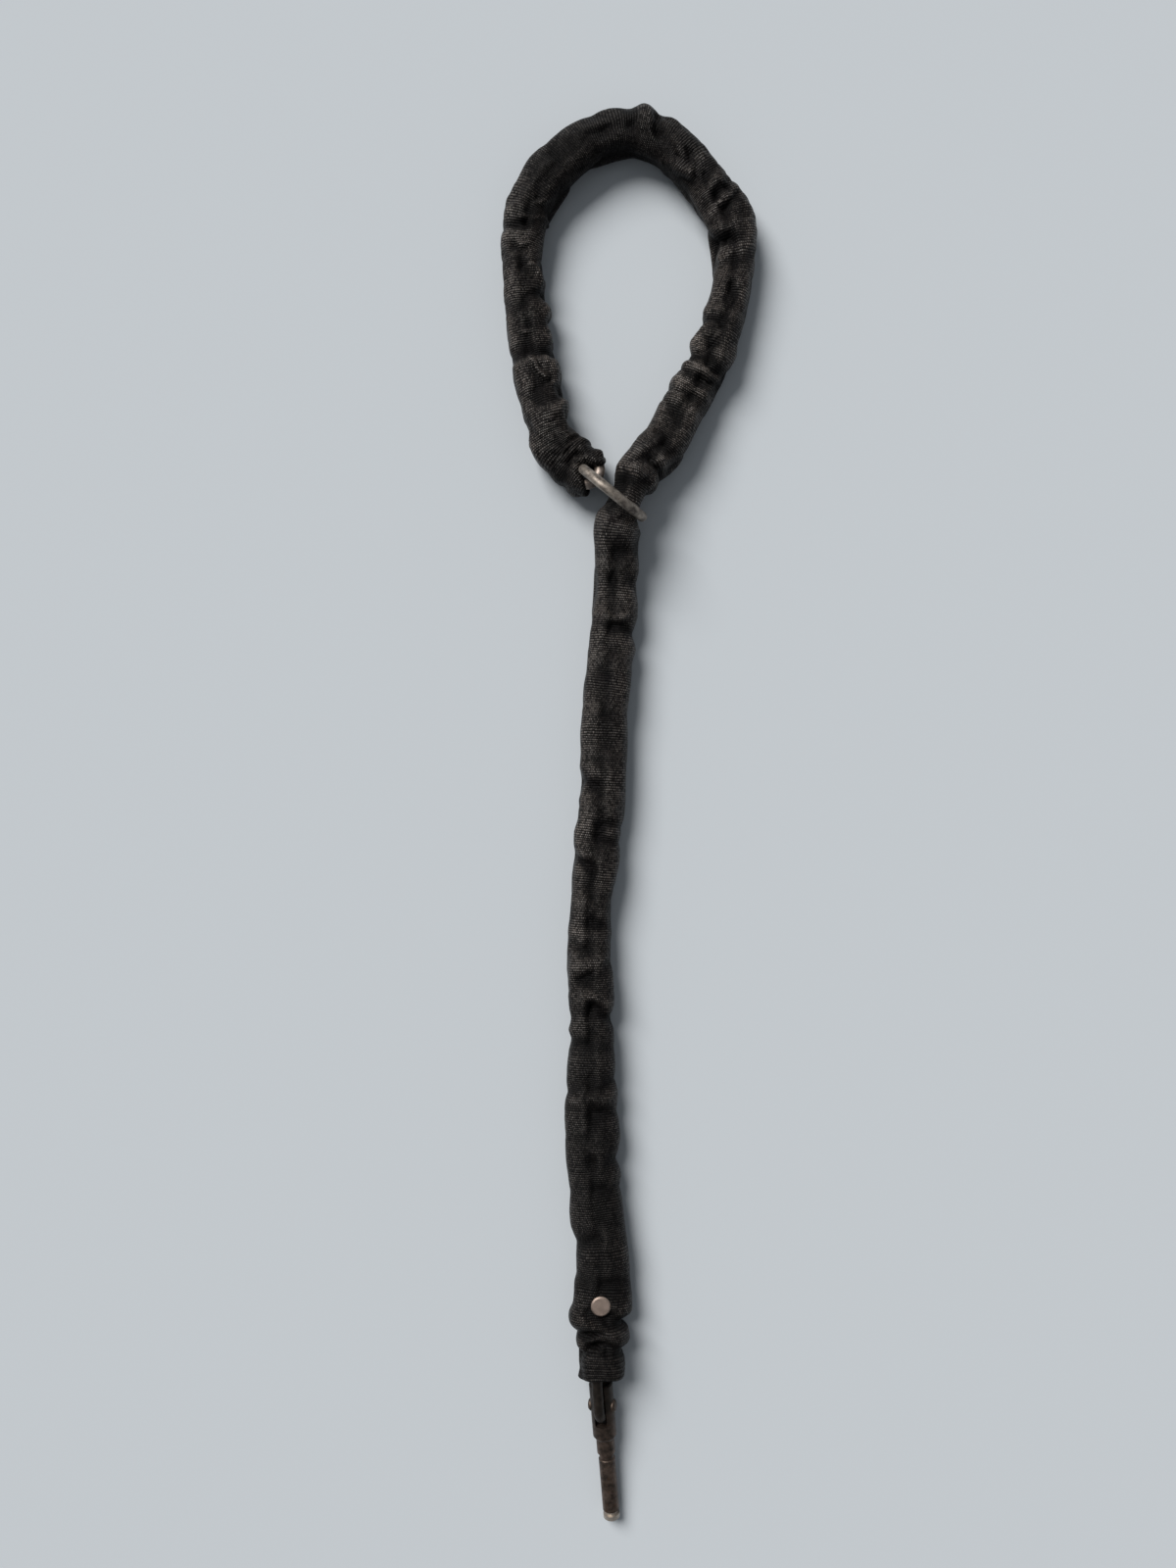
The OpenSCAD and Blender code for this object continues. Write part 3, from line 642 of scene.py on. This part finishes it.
def skin_normals(skin):
    """Outward direction at every point of a skin."""
    round_way = np.roll(skin, -1, 1) - np.roll(skin, 1, 1)
    long_way = np.gradient(skin, axis=0)
    outward = -np.cross(long_way, round_way)
    return outward / np.maximum(np.linalg.norm(outward, axis=2), 1e-9)[:, :, None]


def inner_face(skin, middle):
    """The inside of the wall, pulled in from the outside's deepest neighbour."""
    outward = skin - middle[:, None, :]
    radius = np.linalg.norm(outward, axis=2)
    least = radius.copy()
    for shift in (-1, 0, 1):
        least = np.minimum(least, np.roll(radius, shift, 1))
    least[1:-1] = np.minimum(least[1:-1], np.minimum(least[:-2], least[2:]))
    return middle[:, None, :] + outward * ((least - wall) / radius)[:, :, None]


def cloth_shell(name, outside, inside, normals, dust_and_fold_shade, x):
    """A length of sleeve with a real wall, open at both ends like the tube it is."""
    rings = outside.shape[0]
    points = np.concatenate([outside.reshape(-1, 3), inside.reshape(-1, 3)]) * 0.001

    # four corners for each face: the outside, the inside, and the rims at both ends
    k, q = np.meshgrid(np.arange(rings - 1), np.arange(columns), indexing="ij")
    k, q = k.ravel(), q.ravel()
    beside = (q + 1) % columns
    a, b = k * columns + q, k * columns + beside
    c, d = (k + 1) * columns + beside, (k + 1) * columns + q
    base = rings * columns
    ring = np.arange(columns)
    after = (ring + 1) % columns
    last = (rings - 1) * columns
    faces = np.concatenate([
        np.stack([a, b, c, d], 1),
        np.stack([a, d, c, b], 1) + base,
        np.stack([ring, base + ring, base + after, after], 1),
        np.stack([last + ring, last + after, base + last + after, base + last + ring], 1),
    ])
    mesh = bpy.data.meshes.new(name)
    mesh.from_pydata(points.tolist(), [], faces.tolist())
    mesh.update()

    # normals come from the whole skin, so that no line shows at a cut; the rims face lengthwise
    start_way = (outside[0] - outside[1]).mean(0)
    end_way = (outside[-1] - outside[-2]).mean(0)
    normal_list = np.concatenate([normals.reshape(-1, 3), -normals.reshape(-1, 3)])
    corner_normals = normal_list[faces.ravel()]
    rim = 4 * columns
    corner_normals[-2 * rim:-rim] = start_way / np.linalg.norm(start_way)
    corner_normals[-rim:] = end_way / np.linalg.norm(end_way)
    mesh.normals_split_custom_set(corner_normals.tolist())

    # where each corner lies on the flat cloth, in mm, and how much dust and painted fold shade it
    # gets, with the most painted shade in the creases and on the inside
    turns = np.concatenate([
        np.stack([q, q + 1, q + 1, q], 1),
        np.stack([q, q, q + 1, q + 1], 1),
        np.stack([ring, ring, ring + 1, ring + 1], 1),
        np.stack([ring, ring + 1, ring + 1, ring], 1),
    ]).ravel() * cloth_round / columns
    runs = x[(faces % base) // columns].ravel() * pitch
    rub_and_shade = np.concatenate([dust_and_fold_shade.ravel(), dust_and_fold_shade.ravel() * 0])[faces].ravel()
    weave = mesh.attributes.new("cloth", "FLOAT_VECTOR", "CORNER")
    weave.data.foreach_set("vector", np.stack([turns, runs, rub_and_shade], 1).ravel().astype(np.float32))
    mesh.materials.append(sleeve_cloth)
    piece = bpy.data.objects.new(name, mesh)
    scene.collection.objects.link(piece)
    return piece


def woven(name, dark, glint):
    """Black webbing: crosswise ribs 1.15 mm apart, each of short yarns with brown dust and painted
    glints.
    """
    finish = bpy.data.materials.new(name)
    finish.use_nodes = True
    tree = finish.node_tree
    shader = tree.nodes["Principled BSDF"]
    shader.inputs["Sheen Weight"].default_value = 0.02
    shader.inputs["Sheen Roughness"].default_value = 0.45
    shader.inputs["Sheen Tint"].default_value = (0.75, 0.70, 0.66, 1)
    place = tree.nodes.new("ShaderNodeAttribute")
    place.attribute_name = "cloth"

    def scaled(across, along, shift=0.0):
        way = tree.nodes.new("ShaderNodeMapping")
        way.inputs["Scale"].default_value = (1 / across, 1 / along, 0)
        way.inputs["Location"].default_value = (shift, shift, 0)
        tree.links.new(place.outputs["Vector"], way.inputs["Vector"])
        return way.outputs["Vector"]

    def cloudy(across, along, detail=2.0, shift=0.0):
        cloud = tree.nodes.new("ShaderNodeTexNoise")
        cloud.inputs["Scale"].default_value = 1
        cloud.inputs["Detail"].default_value = detail
        tree.links.new(scaled(across, along, shift), cloud.inputs["Vector"])
        return cloud.outputs["Fac"]

    def work(kind, first, second=None, third=None):
        """One step of arithmetic on numbers and on what other nodes give."""
        node = tree.nodes.new("ShaderNodeMath")
        node.operation = kind
        for slot, value in zip(node.inputs, (first, second, third)):
            if value is None:
                continue
            if isinstance(value, (int, float)):
                slot.default_value = value
            else:
                tree.links.new(value, slot)
        return node.outputs[0]

    split = tree.nodes.new("ShaderNodeSeparateXYZ")
    tree.links.new(place.outputs["Vector"], split.inputs["Vector"])
    rib_step = 1.15
    yarn_step = 1.0
    wander = work("MULTIPLY", work("SUBTRACT", cloudy(across=9, along=5), 0.5), 0.9)
    row = work("DIVIDE", work("ADD", split.outputs["Y"], wander), rib_step)
    shifted = work("ADD", split.outputs["X"], work("MULTIPLY", work("FLOOR", row), 0.5))
    yarn = work("DIVIDE", shifted, yarn_step)
    hump = work("MULTIPLY", work("PINGPONG", row, 0.5), 2.0)
    knob = work("MULTIPLY", work("PINGPONG", yarn, 0.5), 2.0)
    cell = tree.nodes.new("ShaderNodeCombineXYZ")
    tree.links.new(work("FLOOR", yarn), cell.inputs["X"])
    tree.links.new(work("FLOOR", row), cell.inputs["Y"])
    chance = tree.nodes.new("ShaderNodeTexWhiteNoise")
    tree.links.new(cell.outputs["Vector"], chance.inputs["Vector"])
    fuzz = cloudy(across=0.5, along=0.3, detail=3, shift=4.0)
    knobs = work("MULTIPLY", hump, work("MULTIPLY_ADD", knob, 0.5, 0.5))
    relief = work("ADD", knobs, work("MULTIPLY", fuzz, 0.5))
    bump = tree.nodes.new("ShaderNodeBump")
    bump.inputs["Strength"].default_value = 0.9
    bump.inputs["Distance"].default_value = 0.0004
    tree.links.new(relief, bump.inputs["Height"])
    tree.links.new(bump.outputs["Normal"], shader.inputs["Normal"])

    # brown specks on the yarns' tops: partly dust, in patches, and partly painted glints. They are
    # strongest on crests as painted light and faintest in creases as painted shade.
    uneven = work("MULTIPLY_ADD", chance.outputs["Value"], 0.75, 0.12)
    spark = work("MULTIPLY", work("MULTIPLY", hump, knob), uneven)
    patches = work("MULTIPLY_ADD", cloudy(across=16, along=11, detail=4, shift=2.0), 1.6, -0.15)
    dust = work("MAXIMUM", patches, 0.15)
    rub_and_shade = work("MULTIPLY_ADD", work("POWER", split.outputs["Z"], 1.5), 2.6, 0.1)
    amount = work("MULTIPLY", work("MULTIPLY", spark, 1.5), work("MULTIPLY", dust, rub_and_shade))
    paint = tree.nodes.new("ShaderNodeMix")
    paint.data_type = "RGBA"
    paint.clamp_factor = True
    tree.links.new(amount, paint.inputs[0])
    paint.inputs[6].default_value = (*dark, 1)
    paint.inputs[7].default_value = (*glint, 1)
    tree.links.new(paint.outputs[2], shader.inputs["Base Color"])
    tree.links.new(work("MULTIPLY_ADD", fuzz, 0.3, 0.32), shader.inputs["Roughness"])
    shine = work("MINIMUM", work("MULTIPLY_ADD", amount, 1.6, 0.06), 0.9)
    tree.links.new(shine, shader.inputs["Specular IOR Level"])
    return finish


# the glint colour stands for brown dust and painted yarn highlights
sleeve_cloth = woven("sleeve_cloth", dark=(0.0020, 0.0019, 0.0022), glint=(0.125, 0.100, 0.084))


def ring_places(start, end):
    """Places of the rings of one length of sleeve, from cut to cut."""
    return np.linspace(start, end, 1 + int(round((end - start) / ring_gap)))


hem_end = 37.15
loop_end = noose_links - 1
tail_cuts = [*seam_place[loop_end:-1], hem_end]
loop_x = ring_places(seam_place[0], seam_place[loop_end])
tail_x = [ring_places(start, end) for start, end in zip(tail_cuts, tail_cuts[1:])]
all_x = np.concatenate([loop_x] + [places[1:] for places in tail_x])
skin, skin_middle, skin_dust_and_fold_shade = sleeve_skin(all_x)
skin_out = skin_normals(skin)
skin_in = inner_face(skin, skin_middle)


def cut(first, last):
    """What cloth_shell needs of the rings from first up to last."""
    return (part[first:last] for part in (skin, skin_in, skin_out, skin_dust_and_fold_shade, all_x))


loop_rings = len(loop_x)
loop = cloth_shell("sleeve_loop_cloth", *cut(0, loop_rings))
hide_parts("sleeve_loop")
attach(loop, "noose")

first_ring = loop_rings - 1
for k, places in enumerate(tail_x, 1):
    last_ring = first_ring + len(places)
    name = "sleeve_cuff" if k == len(tail_x) else f"sleeve_{k:02d}"
    length = cloth_shell(f"{name}_cloth", *cut(first_ring, last_ring))
    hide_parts(name)
    ends = line_point(seam_place[[loop_end + k - 1, loop_end + k]]) * 0.001
    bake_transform(length)
    first_ring = last_ring - 1


# The mouth's hem: the sleeve's end is turned in on itself, so it is twice as thick. It is gathered
# round the end link in a soft roll that reaches past the ring on both sides of it.
mouth_start = -0.24
mouth_gaps = 41
mouth_x = np.linspace(mouth_start, seam_place[0], mouth_gaps + 1)
mouth_skin, mouth_middle, _ = sleeve_skin(mouth_x)
mouth_skin[-1] = skin[0]
_, _, mouth_side, mouth_up = line_frame(mouth_x)
mouth_room = room_for_links(mouth_x, mouth_middle, mouth_side, mouth_up) + wall

# how far the hem reaches, going round: the outer side, the top with its notch for the ring, the
# inner side, and underneath with another notch
mouth_reach = np.array([
    (0, -0.19), (40, -0.08), (68, 0.17), (90, 0.29), (108, 0.18), (130, -0.02), (155, -0.02),
    (180, 0.08), (225, 0.10), (265, 0.29), (290, 0.25), (325, -0.07), (360, -0.19),
])
mouth_edge = np.interp(np.degrees(turn), mouth_reach[:, 0], mouth_reach[:, 1])
mouth_edge = mouth_edge + 0.02 * np.sin(3 * turn + 0.6) + 0.012 * np.sin(7 * turn)
for _ in range(3):
    mouth_edge = (np.roll(mouth_edge, 1) + 2 * mouth_edge + np.roll(mouth_edge, -1)) / 4


def hem_bulge(share, angle):
    """The hem's soft roll, the stitched groove behind it, and uneven lumps on both."""
    roll_height, roll_place, roll_width = 1.7, 0.78, 0.17
    groove_depth, groove_place, groove_width = 1.9, 0.42, 0.12
    bulge = roll_height * math.exp(-(((share - roll_place) / roll_width) ** 2))
    bulge -= groove_depth * math.exp(-(((share - groove_place) / groove_width) ** 2))
    lump = share * 0.7 * math.sin(4 * angle + 4 * share)
    bulge += lump + share * 0.55 * math.sin(9 * angle - 5 * share)
    return bulge


hem_rows = 20
hem_outside = np.empty((hem_rows, columns, 3))
hem_run = np.empty((hem_rows, columns))
hem_rub_and_shade = np.empty((hem_rows, columns))
for q in range(columns):
    for k in range(hem_rows):
        share = k / (hem_rows - 1)
        x = seam_place[0] + share * (mouth_edge[q] - seam_place[0])
        at = (x - mouth_start) / (seam_place[0] - mouth_start) * mouth_gaps
        at = np.clip(at, 0, mouth_gaps - 0.001)
        low, part = int(at), at - int(at)
        point = mouth_skin[low, q] * (1 - part) + mouth_skin[low + 1, q] * part
        middle = mouth_middle[low] * (1 - part) + mouth_middle[low + 1] * part
        room = mouth_room[low, q] * (1 - part) + mouth_room[low + 1, q] * part
        # the stitching gathers the edge, the more the nearer to its end
        drawn_in = 1 - 0.42 * max(0.0, (0.30 - x) / 0.5) ** 1.2
        outward = (point - middle) * drawn_in
        reach = np.linalg.norm(outward)
        bulge = hem_bulge(share, turn[q])
        new_reach = max(reach + bulge * min(1, 4 * share), room)
        hem_outside[k, q] = middle + outward * new_reach / reach
        hem_run[k, q] = x * pitch
        # painted light where the hem bulges out and painted shade in its groove, on top of the rub
        hem_rub_and_shade[k, q] = 0.30 + 0.09 * bulge
hem_outside[:, :, 2] = np.maximum(hem_outside[:, :, 2], floor_gap)

# over the edge the hem turns in a half circle, and inside it runs back to where it started
hem_roll = 1.9
roll_steps = 8
inner_step = 2.0
edge_row = hem_outside[-1]
ahead = edge_row - hem_outside[-3]
ahead = ahead / np.linalg.norm(ahead, axis=1)[:, None]
away = edge_row - edge_row.mean(0)
away = away - (away * ahead).sum(1)[:, None] * ahead
away = away / np.linalg.norm(away, axis=1)[:, None]
rows = list(hem_outside)
runs = list(hem_run)
for step in range(1, roll_steps + 1):
    a = math.pi * step / roll_steps
    rows.append(edge_row - hem_roll * (1 - math.cos(a)) * away + hem_roll * math.sin(a) * ahead)
    runs.append(hem_run[-1] - 2 * hem_roll * step / roll_steps)
for k in range(hem_rows - 2, -1, -2):
    middle = hem_outside[k].mean(0)
    outward = hem_outside[k] - middle
    reach = np.linalg.norm(outward, axis=1)[:, None]
    # the turned-in cloth lies thickest at the roll
    thick = 1.15 + 2.2 * min(1.0, k / 12)
    rows.append(middle + outward * (reach - thick) / reach)
    runs.append(runs[-1] - inner_step)
rows, runs = np.array(rows), np.array(runs)
rows[:, :, 2] = np.maximum(rows[:, :, 2], floor_gap)

# the outside and the outer half of the rolled edge get rubbed, with painted light on the roll and
# painted shade in the groove, and the inside doesn't
rub_and_shade_rows = hem_rows + roll_steps // 2
row_count = len(rows)
mouth_faces = []
mouth_corners = []
for k in range(row_count):
    for q in range(columns):
        j, p = (k + 1) % row_count, (q + 1) % columns
        corners = (k * columns + q, k * columns + p, j * columns + p, j * columns + q)
        mouth_faces.append(corners)
        far = min(k + 1, row_count - 1)
        for row, column in ((k, q), (k, q + 1), (far, q + 1), (far, q)):
            corner_rub_and_shade = 0.1
            if row < rub_and_shade_rows:
                corner_rub_and_shade = hem_rub_and_shade[min(row, hem_rows - 1), column % columns]
            mouth_corners += [column * cloth_round / columns, runs[row, column % columns], corner_rub_and_shade]
mouth_mesh = bpy.data.meshes.new("sleeve_mouth_hem")
mouth_mesh.from_pydata((rows.reshape(-1, 3) * 0.001).tolist(), [], mouth_faces)
mouth_mesh.shade_smooth()
for edge in mouth_mesh.edges:
    if max(edge.vertices) < columns or min(edge.vertices) >= (row_count - 1) * columns:
        edge.use_edge_sharp = True
mouth_weave = mouth_mesh.attributes.new("cloth", "FLOAT_VECTOR", "CORNER")
mouth_weave.data.foreach_set("vector", mouth_corners)
mouth_mesh.materials.append(sleeve_cloth)
mouth = bpy.data.objects.new("sleeve_mouth_hem", mouth_mesh)
scene.collection.objects.link(mouth)
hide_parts("sleeve_mouth")
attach(mouth, "noose")


# The rivet: a pressed steel cap, 10 mm across, over a shank that goes through the sleeve and the
# inside of a link, set on a washer underneath. It keeps the cloth from creeping up the chain.
rivet_steel = steel_finish(
    "rivet_steel",
    light=(0.42, 0.33, 0.28),
    dark=(0.28, 0.22, 0.19),
    rust=(0.16, 0.10, 0.07),
    rust_share=0.0,
    rough=0.5,
)
dress("rivet_cap", rivet_steel)
dress("rivet_washer", rivet_steel)


# The plug: turned and slotted steel bar, 12 mm at the fork, with a groove near its end that the
# frame lock's bolt grips. Its plating has gone and it is brown, with rust in the grooves.
plug_steel = steel_finish(
    "plug_steel",
    light=(0.14, 0.10, 0.08),
    dark=(0.038, 0.029, 0.024),
    rust=(0.09, 0.045, 0.022),
    rust_share=0.08,
    rough=0.42,
)
plug_tree = plug_steel.node_tree
plug_coords = plug_tree.nodes.new("ShaderNodeTexCoord")
plug_place = plug_tree.nodes.new("ShaderNodeSeparateXYZ")
plug_tree.links.new(plug_coords.outputs["Object"], plug_place.inputs["Vector"])
plug_colour = plug_tree.nodes["worn paint"].outputs[2]

# towards the fork it is nearly black, and its end is painted bright, partly for wear and partly as
# a painted highlight: from, to, colour, how much
for low, high, colour, share in (
    (-0.326, -0.300, (0.013, 0.011, 0.009), 0.85),
    (-0.3605, -0.3609, (0.50, 0.45, 0.40), 0.85),
):
    zone = plug_tree.nodes.new("ShaderNodeMapRange")
    zone.inputs["From Min"].default_value = low
    zone.inputs["From Max"].default_value = high
    zone.inputs["To Max"].default_value = share
    plug_tree.links.new(plug_place.outputs["Y"], zone.inputs["Value"])
    tint = plug_tree.nodes.new("ShaderNodeMix")
    tint.data_type = "RGBA"
    tint.inputs[7].default_value = (*colour, 1)
    plug_tree.links.new(zone.outputs["Result"], tint.inputs[0])
    plug_tree.links.new(plug_colour, tint.inputs[6])
    plug_colour = tint.outputs[2]
plug_tree.links.new(plug_colour, plug_tree.nodes["Principled BSDF"].inputs["Base Color"])
dress("plug", plug_steel)


# The clevis pin: a steel pin through both sides of the fork and the last link, peened over at its
# two ends. It has rusted as brown as the plug.
pin_steel = steel_finish(
    "pin_steel",
    light=(0.10, 0.075, 0.06),
    dark=(0.03, 0.024, 0.02),
    rust=(0.06, 0.032, 0.018),
    rust_share=0.08,
    rough=0.5,
)
dress("clevis_pin", pin_steel)
